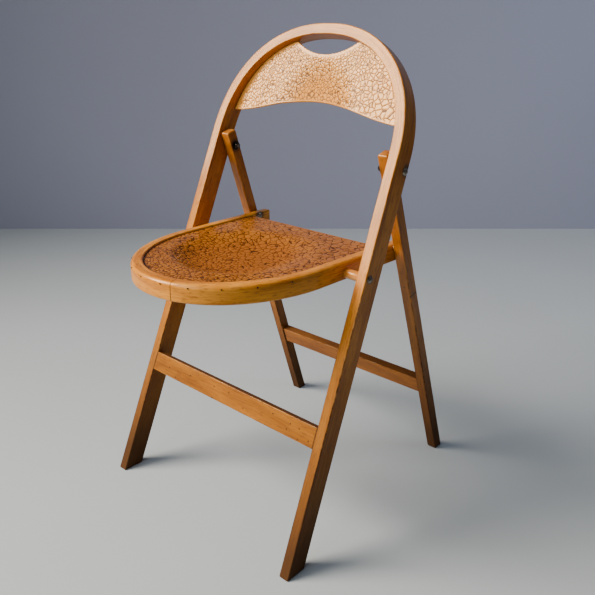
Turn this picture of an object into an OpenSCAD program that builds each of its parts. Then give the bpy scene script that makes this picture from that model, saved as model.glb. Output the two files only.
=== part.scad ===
// Folding chair of bent beech: a hoop that is front legs and back in one bar, a pair of straight
// rear legs inside it, and a U-shaped seat ring with a pressed plywood seat.
// +Z is up and the sitter faces -Y. The origin is on the floor, in the middle of the chair.
// Folding: the seat turns about the lower bolts, front edge up, and a pin on each seat arm draws
// the rear legs forward through a curved groove in the leg.

/* [Hoop] */
// Lean of the hoop from upright, in degrees
back_lean = 23; // [20:0.5:26]
// Half distance between the middles of the hoop's legs at the floor
hoop_half = 214.2; // [200:0.2:230]
// How far each hoop leg leans inwards, per mm of its length
hoop_splay = 0.0221; // [0.015:0.001:0.03]
// Width of the hoop bar, seen from the front
hoop_w = 18; // [16:0.5:20]
// Depth of the hoop bar at its legs
hoop_d = 37; // [34:0.5:40]
// Length of the straight legs, up to the start of the bend
leg_len = 666.8; // [640:0.2:690]
// Rise of the bend above the straight legs
arch_rise = 197; // [180:0.5:215]
// Exponent of the bend's curve: 2 is an ellipse
arch_power = 2.2; // [2:0.01:2.4]
// Place along the leg from which the back of the bar is planed away
taper_start = 630; // [600:5:650]
// Radius of that planed sweep
taper_r = 2230; // [2100:10:4000]

/* [Back panel] */
// Thickness of the plywood
ply = 5; // [4:0.5:6]
// Front face of the panel, behind the hoop's front face, at its lower corners
panel_low_n = 18; // [14:0.5:20]
// The same at its top
panel_high_n = 13; // [10:0.5:16]
// Height of the lower corners along the hoop
panel_corner_s = 718.5; // [712:0.5:722]
// Rise of the arched lower edge above those corners
panel_arch = 28.5; // [20:0.5:34]
// Lowest point of the hand-hold along the hoop
hand_s = 825; // [818:0.5:828]
// Radius of the hand-hold's curve
hand_r = 114; // [105:1:125]
// Depth of the pressed hollow of the back
back_dish = 8; // [5:0.5:9]
// Radius of that hollow where it leaves the flat panel
back_dish_r = 74; // [60:1:76]
// Middle of that hollow above the top of the arched edge
back_dish_up = 8; // [0:1:12]

/* [Rear legs] */
// Lean of the rear legs from upright, in degrees
rear_lean = 18.44; // [16:0.02:21]
// Half distance between the rear legs at the upper bolts
rear_half = 178.4; // [175:0.1:179]
// How far each rear leg spreads outwards, per mm of its length
rear_splay = 0.0128; // [0.008:0.0002:0.016]
// Width of a rear leg, seen from the front
rear_w = 19; // [17:0.5:19]
// Depth of a rear leg
rear_d = 20.4; // [19:0.1:20.4]
// Length of a rear leg above the upper bolt
rear_top = 28; // [24:1:30]

/* [Seat] */
// Half width of the seat ring at its widest curve
ring_half = 165.8; // [160:0.1:166]
// Length of the curved front of the ring
ring_curve = 199.5; // [180:0.5:210]
// Exponent of the ring's front curve
ring_power = 2.06; // [2:0.01:2.2]
// How far the arms spread, per mm of their length
arm_splay = 0.021; // [0.015:0.001:0.021]
// Width of the ring bar, seen from above
ring_w = 19.5; // [18:0.5:20]
// Height of the ring bar
ring_h = 30; // [27:0.5:31]
// Reach of the ring in front of the seat bolts
ring_front = 248.1; // [240:0.1:249]
// Length of the arms behind the seat bolts
arm_back = 155.5; // [150:0.5:158]
// Rear edge of the seat panel, behind the seat bolts
seat_edge = 106; // [100:0.5:110]
// Middle of the ring's height above the seat bolts
ring_lift = 4; // [2:0.5:5]
// Step from the ring's top down to the seat panel
panel_step = 3; // [2:0.5:5]
// Depth of the pressed hollow of the seat
seat_dish = 15; // [8:0.5:16]
// Radius of that hollow where it leaves the flat border
seat_dish_r = 122; // [100:1:126]
// Middle of that hollow in front of the seat bolts
seat_dish_y = 58; // [54:1:62]
// How far panels are let into the bars that hold them
let_in = 6; // [4:0.5:8]

/* [Stretchers] */
// Height of both stretchers
rail_h = 34.6; // [30:0.2:38]
// Thickness of both stretchers
rail_t = 16; // [14:0.5:17]
// Middle of the front stretcher along the hoop
front_rail_s = 224.5; // [200:0.5:250]
// Middle of the rear stretcher below the upper bolts, along the leg
rear_rail_t = 455; // [430:1:470]
// Length of the tenons at their ends
tenon = 12; // [8:1:14]
// Shoulder of the tenons at the stretcher's front and back
shoulder = 3; // [2:0.5:4]
// Shoulder of the tenons at the stretcher's top and bottom
shoulder_top = 4; // [3:0.5:6]

/* [Pivots] */
// Upper bolts along the hoop
bolt_a_s = 654.5; // [645:0.5:660]
// Upper bolts behind the hoop's front face
bolt_a_n = 28.4; // [28.4:0.1:29]
// Seat bolts along the hoop
bolt_b_s = 482.3; // [475:0.1:490]
// Seat bolts behind the hoop's front face
bolt_b_n = 9.8; // [9:0.1:9.8]
// Diameter of all bolts and pins
bolt_d = 6; // [5:0.5:6]
// Diameter of the turned wooden spacers
spacer_d = 15.8; // [14:0.1:15.8]
// Offset of the groove from the middle of the rear leg, at its two ends
groove_in = 5; // [4:0.1:5]
// Depth of the groove's floor outside the inner face of the leg at the upper bolt
groove_deep = 9; // [7:0.5:10]

/* [Hidden] */
$fn = 48;

beech = "#c98a4b";
beech_dark = "#b57638";
steel = "#8a8780";

// pivots in the side view: Y back from the front foot, Z up
function hoop_y(s, n) = s * sin(back_lean) + n * cos(back_lean);
function hoop_z(s, n) = s * cos(back_lean) - n * sin(back_lean);
a_y = hoop_y(bolt_a_s, bolt_a_n);
a_z = hoop_z(bolt_a_s, bolt_a_n);
b_y = hoop_y(bolt_b_s, bolt_b_n);
b_z = hoop_z(bolt_b_s, bolt_b_n);
// the guide pin lies on the groove's line when the chair stands open, at the height that
// brings the folded seat parallel to the hoop
pin_up = bolt_a_n - groove_in - bolt_b_n;
pin_z = b_z + pin_up;
pin_y = a_y + (a_z - pin_z) * tan(rear_lean) - groove_in / cos(rear_lean);
pin_back = pin_y - b_y;
// full turns of the seat and of the rear legs between open and folded
seat_turn = 90 + back_lean;
legs_turn = back_lean + rear_lean;

leg_below = a_z / cos(rear_lean);
chair_back = a_y + a_z * tan(rear_lean) + rear_d / 2 / cos(rear_lean);
chair_front = b_y - ring_front;
bore_r = bolt_d / 2 + 0.05;
head_d = 13;
head_h = 3.4;
nut_h = 5;
nut_d = 11.5;
washer_d = 16;
plate = 1.5;
nail_d = 1.6;
nail_angles = [-72:16:72];
steps = 22;

// half width of the hoop's middle line at a place along its straight leg
function hoop_x(s) = hoop_half - hoop_splay * s;
// half width of a rear leg's middle line at a distance up from the upper bolt
function rear_x(t) = rear_half - rear_splay * t;
// half width of the seat arm's outer face at a distance behind the seat bolts
function arm_x(y) = ring_half + arm_splay * (y - (ring_curve - ring_front));

// quarter of a superellipse with half axes a and b, from its side to its crown
function quarter(a, b, power) = [for (i = [0:steps]) let (w = 90 * i / steps)
    [a * pow(cos(w), 2 / power), b * pow(sin(w), 2 / power)]];
function mirrored(points) = concat(points,
    [for (i = [len(points) - 1:-1:0]) if (points[i][0] > 0.001) [-points[i][0], points[i][1]]]);

// outline of the hoop at a distance out from its middle line
function hoop_outline(off) = mirrored(concat([[hoop_x(-40) + off, -40]],
    [for (p = quarter(hoop_x(leg_len) + off, arch_rise + off, arch_power)) [p[0], leg_len + p[1]]]));
// outline of the seat at a distance in from the ring's outer face, cut off at y = rear
function seat_outline(inset, rear) = let (a = ring_half - inset, b = ring_curve - inset)
    mirrored(concat([[arm_x(rear) - inset, rear]],
    [for (p = quarter(a, b, ring_power)) [p[0], ring_curve - ring_front - p[1]]]));
// lower edge of the back panel, a raised cosine from corner to corner
function back_edge(span) = [for (i = [-16:16]) let (x = span * i / 16)
    [x, panel_corner_s + panel_arch * (0.5 + 0.5 * cos(180 * x / span))]];

// a solid cylinder along X from x0 to x1
module bar_x(x0, x1, d) {
    translate([x0, 0, 0]) rotate([0, 90, 0]) cylinder(d = d, h = x1 - x0);
}

// frames: the whole chair, the hoop's own plane, the rear legs and the seat
module in_chair() { translate([0, -(chair_front + chair_back) / 2, 0]) children(); }
module in_hoop() { in_chair() rotate([-back_lean, 0, 0]) children(); }
module in_rear() { in_chair() translate([0, a_y, a_z]) rotate([rear_lean, 0, 0]) children(); }
module in_seat() { in_chair() translate([0, b_y, b_z]) children(); }
module at_bolt_a() { in_hoop() translate([0, bolt_a_n, bolt_a_s]) children(); }
module at_bolt_b() { in_hoop() translate([0, bolt_b_n, bolt_b_s]) children(); }

// an outline drawn in the hoop's plane, made solid from depth n0 to n1
module hoop_plate(n0, n1) {
    translate([0, n1, 0]) rotate([90, 0, 0]) linear_extrude(height = n1 - n0) children();
}

// everything above the floor
module above_floor() { translate([-500, -500, 0]) cube([1000, 1500, 1200]); }

// the through length of a stretcher's tenons, from end to end
module tenon_bar(length) {
    cube([length, rail_t - 2 * shoulder, rail_h - 2 * shoulder_top]);
}

module hoop_tenons() {
    x = hoop_x(front_rail_s) - hoop_w / 2 + tenon;
    translate([-x, shoulder, front_rail_s - rail_h / 2 + shoulder_top]) tenon_bar(2 * x);
}

module front_hoop() {
    color(beech) difference() {
        intersection() {
            in_hoop() difference() {
                hoop_plate(0, hoop_d) polygon(hoop_outline(hoop_w / 2));
                hoop_plate(-1, hoop_d + 1) polygon([for (p = hoop_outline(-hoop_w / 2))
                    p[1] < 0 ? [p[0] + sign(p[0]) * hoop_splay * 20, p[1] - 20] : p]);
            }
            above_floor();
            in_hoop() union() {
                translate([-300, -10, -60]) cube([600, 100, taper_start + 60]);
                translate([-300, hoop_d - taper_r, taper_start]) rotate([0, 90, 0])
                    cylinder(r = taper_r, h = 600, $fn = 1440);
            }
        }
        in_hoop() hoop_tenons();
        in_hoop() back_slab();
        at_bolt_a() bar_x(-300, 300, 2 * bore_r);
        at_bolt_b() bar_x(-300, 300, 2 * bore_r);
    }
}

// the back panel's own plane, its front face at n = 0 and leaning a little less than the hoop
module in_panel() {
    tilt = atan((panel_low_n - panel_high_n) / (hand_s - panel_corner_s));
    translate([0, panel_low_n, panel_corner_s]) rotate([tilt, 0, 0])
        translate([0, 0, -panel_corner_s]) children();
}

// the back panel's outline, let into the hoop by reach
module back_outline(reach) {
    span = hoop_x(panel_corner_s) - hoop_w / 2 + reach;
    rim = [for (p = hoop_outline(reach - hoop_w / 2)) if (p[1] > panel_corner_s) p];
    difference() {
        polygon(concat(rim, back_edge(span)));
        translate([0, hand_s + hand_r]) circle(r = hand_r, $fn = 96);
    }
}

// the flat edge of the back panel, which the hoop's groove holds
module back_slab() { in_panel() hoop_plate(0, ply) back_outline(let_in); }

module back_panel() {
    ball = (back_dish_r * back_dish_r + back_dish * back_dish) / (2 * back_dish);
    centre = [0, back_dish - ball, panel_corner_s + panel_arch + back_dish_up];
    color(beech) in_hoop() in_panel() difference() {
        intersection() {
            hoop_plate(0, ply + back_dish) back_outline(let_in);
            union() {
                hoop_plate(0, ply) translate([-250, 600]) square([500, 400]);
                translate(centre) sphere(r = ball + ply, $fn = 180);
            }
        }
        translate(centre) sphere(r = ball, $fn = 180);
    }
}

module front_stretcher() {
    inner = function (s) hoop_x(s) - hoop_w / 2;
    low = front_rail_s - rail_h / 2;
    high = front_rail_s + rail_h / 2;
    color(beech) in_hoop() {
        hoop_plate(0, rail_t) polygon([[-inner(low), low], [inner(low), low],
            [inner(high), high], [-inner(high), high]]);
        hoop_tenons();
    }
}

// a domed head with its shank along +X, the head's inner face at x = 0
module domed_bolt(length) {
    ball = (head_d * head_d / 4 + head_h * head_h) / (2 * head_h);
    rotate([0, 90, 0]) rotate_extrude() polygon(concat([[0, -head_h]],
        [for (i = [1:10]) let (r = head_d / 2 * i / 10)
            [r, ball - head_h - sqrt(ball * ball - r * r)]],
        [[bolt_d / 2, 0], [bolt_d / 2, length], [0, length]]));
}

// a hexagon nut along +X on a bolt's end, its near face at x = 0
module hex_nut() {
    difference() {
        rotate([0, 90, 0]) cylinder(d = nut_d, h = nut_h, $fn = 6);
        bar_x(-1, nut_h + 1, bolt_d);
    }
}

module washer(thickness) {
    difference() {
        bar_x(0, thickness, washer_d);
        bar_x(-1, thickness + 1, 2 * bore_r);
    }
}

// side is 1 for the chair's right (+X) and -1 for its left; x falls towards the middle
module from_outside(side, x) {
    mirror([side > 0 ? 0 : 1, 0, 0]) translate([x, 0, 0]) mirror([1, 0, 0]) children();
}

a_face = hoop_x(bolt_a_s) + hoop_w / 2;
b_face = hoop_x(bolt_b_s) + hoop_w / 2;
leg_inner = rear_x(0) - rear_w / 2;
arm_outer = arm_x(0);
arm_inner = arm_outer - ring_w;
face_gap = 0.4;
seat_nut_x = arm_inner - 0.6 - plate;
leg_nut_x = leg_inner - 0.6 - plate;

module leg_bolt(side) {
    color(steel) at_bolt_a() from_outside(side, a_face + face_gap)
        domed_bolt(a_face + face_gap - leg_nut_x + nut_h + 1);
}
module leg_nut(side) { color(steel) at_bolt_a() from_outside(side, leg_nut_x) hex_nut(); }
module nut_washer(side) { color(steel) at_bolt_a() from_outside(side, leg_nut_x + plate) washer(plate); }
module leg_washer(side) {
    outer = hoop_x(bolt_a_s) - hoop_w / 2 - 0.25;
    color(steel) at_bolt_a() from_outside(side, outer) washer(outer - rear_x(0) - rear_w / 2 - 0.25);
}

module seat_bolt(side) {
    color(steel) at_bolt_b() from_outside(side, b_face + face_gap)
        domed_bolt(b_face + face_gap - seat_nut_x + nut_h + 1);
}
module seat_nut(side) { color(steel) at_bolt_b() from_outside(side, seat_nut_x) hex_nut(); }
module seat_washer(side) {
    color(steel) at_bolt_b() from_outside(side, seat_nut_x + plate) washer(plate);
}
module seat_spacer(side) {
    outer = hoop_x(bolt_b_s) - hoop_w / 2 - 0.3;
    length = outer - arm_outer - 0.5;
    color(beech) at_bolt_b() from_outside(side, outer) difference() {
        bar_x(0, length, spacer_d);
        bar_x(-1, length + 1, 2 * bore_r);
    }
}

// the guide pin's place in the rear leg's own frame when the seat has turned by phi and the
// leg by its share of the fold
function guide_point(phi) = let (
    py = b_y + pin_back * cos(phi) + pin_up * sin(phi) - a_y,
    pz = b_z - pin_back * sin(phi) + pin_up * cos(phi) - a_z,
    lean = rear_lean - phi * legs_turn / seat_turn)
    [py * cos(lean) + pz * sin(lean), -py * sin(lean) + pz * cos(lean)];

groove_points = [for (i = [0:20]) guide_point(seat_turn * i / 20)];
// direction of the groove's line at each of its points, from the two beside it
groove_runs = [for (i = [0:20]) let (run = groove_points[min(i + 1, 20)] - groove_points[max(i - 1, 0)])
    atan2(run[1], run[0])];
function beside(i, turn) = let (w = groove_runs[i] + turn)
    groove_points[i] + (bolt_d / 2 + 0.25) * [cos(w), sin(w)];

// the groove's outline, rounded at both ends: one side up, round the end, and back down
module groove(side) {
    from_outside(side, leg_inner + groove_deep) rotate([90, 0, 90]) linear_extrude(height = 40)
        polygon(concat([for (i = [0:19]) beside(i, -90)],
            [for (turn = [-90:15:90]) beside(20, turn)],
            [for (i = [19:-1:1]) beside(i, 90)],
            [for (turn = [90:15:255]) beside(0, turn)]));
}

module rear_leg(side) {
    low = -leg_below - 20;
    color(beech_dark) difference() {
        intersection() {
            in_rear() translate([0, rear_d / 2, 0]) rotate([90, 0, 0]) linear_extrude(height = rear_d)
                polygon([for (p = [[-1, low], [1, low], [1, rear_top], [-1, rear_top]])
                    [side * rear_x(p[1]) + p[0] * rear_w / 2, p[1]]]);
            above_floor();
        }
        in_rear() bar_x(-300, 300, 2 * bore_r);
        in_rear() groove(side);
        in_rear() rear_tenons();
    }
}

module rear_tenons() {
    x = rear_x(-rear_rail_t) - rear_w / 2 + tenon;
    translate([-x, shoulder - rail_t / 2, -rear_rail_t - rail_h / 2 + shoulder_top])
        tenon_bar(2 * x);
}

module rear_stretcher() {
    inner = function (t) rear_x(t) - rear_w / 2;
    low = -rear_rail_t - rail_h / 2;
    high = -rear_rail_t + rail_h / 2;
    color(beech_dark) in_rear() {
        hoop_plate(-rail_t / 2, rail_t / 2) polygon([[-inner(low), low], [inner(low), low],
            [inner(high), high], [-inner(high), high]]);
        rear_tenons();
    }
}

ring_top = ring_lift + ring_h / 2;
board_top = ring_top - panel_step;
board_reach = ring_w - let_in;

// the seat board's slab, as it is let into the ring
module seat_board(low, high) {
    translate([0, 0, low]) linear_extrude(height = high - low)
        polygon(seat_outline(board_reach, seat_edge));
}

// the panel's nails, square to the ring's curve, their heads just proud of it
module seat_nail_set() {
    for (a = nail_angles) {
        run = pow(1 - pow(abs(sin(a)), ring_power), 1 / ring_power);
        translate([ring_half * sin(a), ring_curve * (1 - run) - ring_front, board_top - ply / 2])
            rotate([-90, 0, atan(ring_curve / ring_half * tan(a))])
                translate([0, 0, -0.3]) cylinder(d = nail_d, h = ring_w + 2, $fn = 16);
    }
}

module seat_ring() {
    color(beech) in_seat() difference() {
        translate([0, 0, ring_lift - ring_h / 2]) linear_extrude(height = ring_h)
            difference() {
                polygon(seat_outline(0, arm_back));
                polygon(seat_outline(ring_w, arm_back + 1));
            }
        seat_board(board_top - ply, board_top);
        bar_x(-300, 300, 2 * bore_r);
        translate([0, pin_back, pin_up]) bar_x(-300, 300, bolt_d);
        seat_nail_set();
    }
}

module seat_panel() {
    ball = (seat_dish_r * seat_dish_r + seat_dish * seat_dish) / (2 * seat_dish);
    centre = [0, -seat_dish_y, board_top - seat_dish + ball];
    color(beech) in_seat() difference() {
        union() {
            seat_board(board_top - ply, board_top);
            intersection() {
                translate(centre) sphere(r = ball + ply, $fn = 180);
                translate([0, -seat_dish_y, board_top - seat_dish - ply - 1])
                    cylinder(r = seat_dish_r, h = seat_dish + ply, $fn = 96);
            }
        }
        translate(centre) sphere(r = ball, $fn = 180);
        seat_nail_set();
    }
}

module seat_nails() { color(steel) in_seat() seat_nail_set(); }

// the guide pin: its round head inside the arm, its shank through the arm and into the groove
module guide_pin(side) {
    inner = arm_x(pin_back) - ring_w;
    reach = leg_inner + groove_deep - 0.6 - inner;
    color(steel) in_seat() translate([0, pin_back, pin_up])
        mirror([side > 0 ? 0 : 1, 0, 0]) translate([inner - face_gap, 0, 0]) domed_bolt(reach);
}

front_hoop();
back_panel();
front_stretcher();
seat_spacer(-1);  // seat_spacer_left
seat_spacer(1);  // seat_spacer_right
seat_bolt(-1);  // seat_bolt_left
seat_bolt(1);  // seat_bolt_right
seat_nut(-1);  // seat_nut_left
seat_nut(1);  // seat_nut_right
seat_washer(-1);  // seat_washer_left
seat_washer(1);  // seat_washer_right
leg_bolt(-1);  // leg_bolt_left
leg_bolt(1);  // leg_bolt_right
leg_nut(-1);  // leg_nut_left
leg_nut(1);  // leg_nut_right
leg_washer(-1);  // leg_washer_left
leg_washer(1);  // leg_washer_right
nut_washer(-1);  // nut_washer_left
nut_washer(1);  // nut_washer_right
rear_leg(-1);  // rear_leg_left
rear_leg(1);  // rear_leg_right
rear_stretcher();
seat_ring();
seat_panel();
seat_nails();
guide_pin(-1);  // guide_pin_left
guide_pin(1);  // guide_pin_right
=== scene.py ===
import math

import bmesh
import bpy
import numpy as np
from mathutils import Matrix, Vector


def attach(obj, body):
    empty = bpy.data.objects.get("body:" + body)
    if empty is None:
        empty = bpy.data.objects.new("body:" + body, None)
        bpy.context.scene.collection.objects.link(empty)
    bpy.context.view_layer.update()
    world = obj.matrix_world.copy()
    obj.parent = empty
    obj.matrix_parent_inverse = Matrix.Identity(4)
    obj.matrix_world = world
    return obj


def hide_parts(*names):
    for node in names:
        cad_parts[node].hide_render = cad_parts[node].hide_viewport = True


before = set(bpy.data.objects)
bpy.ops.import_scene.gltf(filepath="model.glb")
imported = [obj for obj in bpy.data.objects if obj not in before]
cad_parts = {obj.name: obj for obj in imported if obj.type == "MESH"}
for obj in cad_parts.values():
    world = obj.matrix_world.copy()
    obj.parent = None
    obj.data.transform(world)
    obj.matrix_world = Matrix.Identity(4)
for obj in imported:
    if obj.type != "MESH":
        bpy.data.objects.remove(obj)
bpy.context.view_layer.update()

# ---- The hoop ---------------------------------------------------------------------------------
# One steam-bent beech bar, 18 mm wide and 37 mm deep: both front legs and the round top of the
# back. Its corners are eased by hand, its back is planed thinner towards the crown, and its feet
# are sawn level. Lengths are in millimetres until a mesh is made.

MM = 0.001
CHAIR_MIDDLE = 219.619  # from the front feet's front edges to the middle of the chair
HOOP_LEAN = math.radians(23)
HOOP_HALF, HOOP_SPLAY = 214.2, 0.0221  # half width at the floor, and how the legs draw in
HOOP_WIDTH, HOOP_DEPTH = 18.0, 37.0
HOOP_LEG, HOOP_RISE, HOOP_POWER = 666.8, 197.0, 2.2  # straight legs, the bend and its roundness
PLANED_FROM, PLANED_RADIUS = 630.0, 2230.0
BEND = 300.0  # counting length of each half of the bend, from the straight leg to the crown
FOOT_SLANT = 80.0  # the sawn foot's slant dies out over this length


def hoop_half_width(s):
    """Half the hoop's width between its straight legs' middle lines, s up the hoop."""
    return HOOP_HALF - HOOP_SPLAY * s


def hoop_outline(along, off):
    """Half width and height of the hoop, off from its middle line, at a length along one half."""
    turn = np.radians(90 * np.clip((along - HOOP_LEG) / BEND, 0, 1))
    bent_x = (hoop_half_width(HOOP_LEG) + off) * np.cos(turn).clip(0) ** (2 / HOOP_POWER)
    bent_s = HOOP_LEG + (HOOP_RISE + off) * np.sin(turn) ** (2 / HOOP_POWER)
    straight = along <= HOOP_LEG
    return (np.where(straight, hoop_half_width(along) + off, bent_x),
            np.where(straight, along, bent_s))


def from_hoop(x, n, s):
    """The row frame's place of a point x across, n behind the hoop's front face and s up it."""
    y = s * math.sin(HOOP_LEAN) + n * math.cos(HOOP_LEAN) - CHAIR_MIDDLE
    z = s * math.cos(HOOP_LEAN) - n * math.sin(HOOP_LEAN)
    return np.stack(np.broadcast_arrays(x, y, z), -1)


def place_hoop(along, u, n):
    """Where a point of the bar goes: along from the left foot, u from its inner face, n from its
    front. The back is planed thinner towards the crown, and the feet slant with the floor."""
    half = HOOP_LEG + BEND
    side = np.where(along < half, -1, 1)
    along = np.where(along < half, along, 2 * half - along)
    x, s = hoop_outline(along, u - HOOP_WIDTH / 2)
    planed = np.clip(s - PLANED_FROM, 0, None)
    depth = HOOP_DEPTH - PLANED_RADIUS + np.sqrt(PLANED_RADIUS ** 2 - planed ** 2)
    n = np.where(n > HOOP_DEPTH / 2, depth - (HOOP_DEPTH - n), n)
    s = s + n * math.tan(HOOP_LEAN) * np.clip(1 - s / FOOT_SLANT, 0, 1)
    return from_hoop(side * x, n, s)


def eased_section(width, depth, radii):
    """A bar's section: points (u, n) round a rectangle with rounded corners, and how much each
    point is on a corner. radii are for the corners (0, 0), (width, 0), (width, depth), (0, depth).
    A point just before and just after each corner keeps the faces between them flat."""
    points, corner = [], []
    for (cu, cn), radius, start in zip([(0, 0), (1, 0), (1, 1), (0, 1)], radii, [180, 270, 0, 90]):
        mid = (cu * width + (1 - 2 * cu) * radius, cn * depth + (1 - 2 * cn) * radius)
        arc = [math.radians(start + 18 * i) for i in range(6)]
        arc = [(mid[0] + radius * math.cos(a), mid[1] + radius * math.sin(a)) for a in arc]
        before = (arc[0][0] + 0.4 * math.sin(math.radians(start)),
                  arc[0][1] - 0.4 * math.cos(math.radians(start)))
        after = (arc[5][0] - 0.4 * math.sin(math.radians(start + 90)),
                 arc[5][1] + 0.4 * math.cos(math.radians(start + 90)))
        points += [before, *arc, after]
        corner += [0, 0.4, 1, 1, 1, 1, 0.4, 0]
    return np.array(points), np.array(corner, float)


def make_mesh(name, points, faces, **attributes):
    """A closed mesh of points in millimetres, its faces turned outwards, with its attributes."""
    mesh = bpy.data.meshes.new(name)
    mesh.from_pydata((np.asarray(points) * MM).tolist(), [], faces)
    for key, values in attributes.items():
        values = np.asarray(values, np.float32)
        vector = values.ndim == 2
        layer = mesh.attributes.new(key, "FLOAT_VECTOR" if vector else "FLOAT", "POINT")
        layer.data.foreach_set("vector" if vector else "value", values.ravel())
    solid = bmesh.new()
    solid.from_mesh(mesh)
    bmesh.ops.recalc_face_normals(solid, faces=solid.faces)
    solid.to_mesh(mesh)
    solid.free()
    mesh.shade_smooth()
    mesh.set_sharp_from_angle(angle=math.radians(38))
    piece = bpy.data.objects.new(name, mesh)
    bpy.context.scene.collection.objects.link(piece)
    return piece


def swept_bar(name, stations, section, place, ends=(1.2, 1.2), seam=None):
    """A bar of one section along its stations, its two ends rounded to those radii. Its grain
    attribute holds the place in the bar before bending, its edge attribute how near a corner is."""
    points, corner = section
    stations = np.asarray(stations, float)
    rounds = [radius * (1 - np.cos(np.linspace(0, np.pi / 2, 5))) for radius in ends]
    between = (stations > stations[0] + ends[0] + 1) & (stations < stations[-1] - ends[1] - 1)
    t = np.concatenate([stations[0] + rounds[0], stations[between], (stations[-1] - rounds[1])[::-1]])
    inset = np.zeros(len(t))
    inset[:5] = ends[0] * (1 - np.sin(np.linspace(0, np.pi / 2, 5)))
    inset[-5:] = ends[1] * (1 - np.cos(np.linspace(0, np.pi / 2, 5)))
    middle, half = (points.max(0) + points.min(0)) / 2, (points.max(0) - points.min(0)) / 2
    section_at = middle + (points - middle)[None] * (1 - inset[:, None, None] / half)
    u, n = section_at[..., 0], section_at[..., 1]
    along = np.repeat(t[:, None], len(points), 1)
    if seam is not None:  # a fine open joint across the bar
        near = np.exp(-((t - seam) / 0.5) ** 2)
        u = u + 0.5 * near[:, None] * np.sign(middle[0] - u)
    placed = place(along, u, n)
    count = len(points)
    faces = [[r * count + i, r * count + (i + 1) % count,
              (r + 1) * count + (i + 1) % count, (r + 1) * count + i]
             for r in range(len(t) - 1) for i in range(count)]
    faces += [list(range(count)), [(len(t) - 1) * count + i for i in range(count)]]
    edge = np.maximum(corner, (inset > 0)[:, None] * 0.8)
    return make_mesh(name, placed.reshape(-1, 3), faces,
                     grain=np.stack([along, u, n], -1).reshape(-1, 3), edge=edge.ravel())


def sRGB(hex_colour):
    """The shader's linear colour for an sRGB hex value."""
    parts = [int(hex_colour[i:i + 2], 16) / 255 for i in (1, 3, 5)]
    return [c / 12.92 if c <= 0.04045 else ((c + 0.055) / 1.055) ** 2.4 for c in parts] + [1]


def add(tree, kind, inputs=(), **settings):
    """A node of that kind, with its settings, and its inputs set to values or linked."""
    made = tree.nodes.new(kind)
    for key, value in settings.items():
        setattr(made, key, value)
    for key, value in dict(inputs).items():
        if isinstance(value, bpy.types.NodeSocket):
            tree.links.new(value, made.inputs[key])
        else:
            made.inputs[key].default_value = value
    return made


def new_material(name):
    material = bpy.data.materials.new(name)
    material.use_nodes = True
    material.node_tree.nodes.clear()
    return material, material.node_tree


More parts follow.
